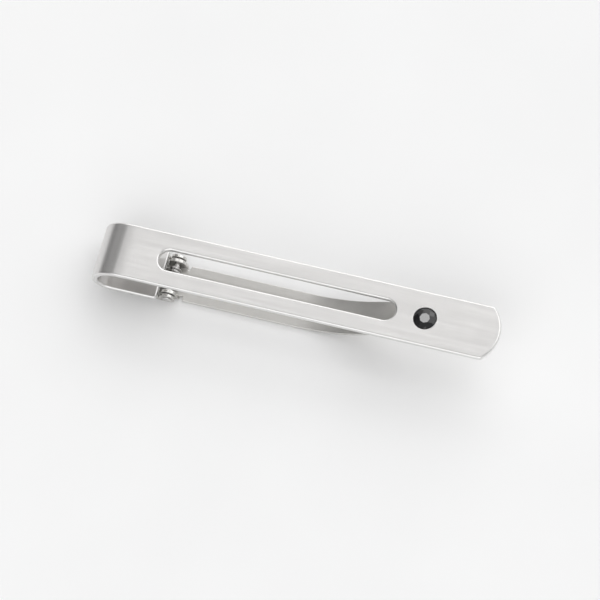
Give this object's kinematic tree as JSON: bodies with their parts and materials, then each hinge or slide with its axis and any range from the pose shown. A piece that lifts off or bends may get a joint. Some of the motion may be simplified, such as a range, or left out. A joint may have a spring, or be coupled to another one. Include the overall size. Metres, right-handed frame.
{
  "type": "tie bar",
  "caption": "Slotted flat steel tie bar with a round return bend, a small round black stone near its tip, and a hinged back arm with a thumb lever and torsion spring.",
  "frame": {"origin": "middle of the bounding box in plan, on the surface that the clip lies on, which is the underside of the back arm", "axes": "+X along the bar from the return bend to the tip, +Z out of the front face, +Y across the bar"},
  "size_m": [0.0576, 0.0078, 0.0085],
  "materials": {
    "satin_steel": "satin, brushed along the bar, with polished edges",
    "spring_steel": "tumbled satin",
    "pin_steel": "turned, with peened heads",
    "wire_steel": "drawn wire",
    "black_stone": "opaque black, polished flat facets"
  },
  "bodies": {
    "arm": {"back_arm": "spring_steel", "torsion_spring": "wire_steel"},
    "bar": {"front_bar": "satin_steel", "stone": "black_stone", "hinge_bracket": "spring_steel", "hinge_pin": "pin_steel"}
  },
  "joints": [
    {"name": "clip_hinge", "type": "hinge", "parent": "arm", "child": "bar", "pos_m": [-0.01845, 0, 0.00145], "axis": [0, -1, 0], "range_deg": [0, 8.5], "stiffness_Nm_per_rad": 0.04, "springref_deg": -22.92, "deforming": ["torsion_spring"]}
  ]
}
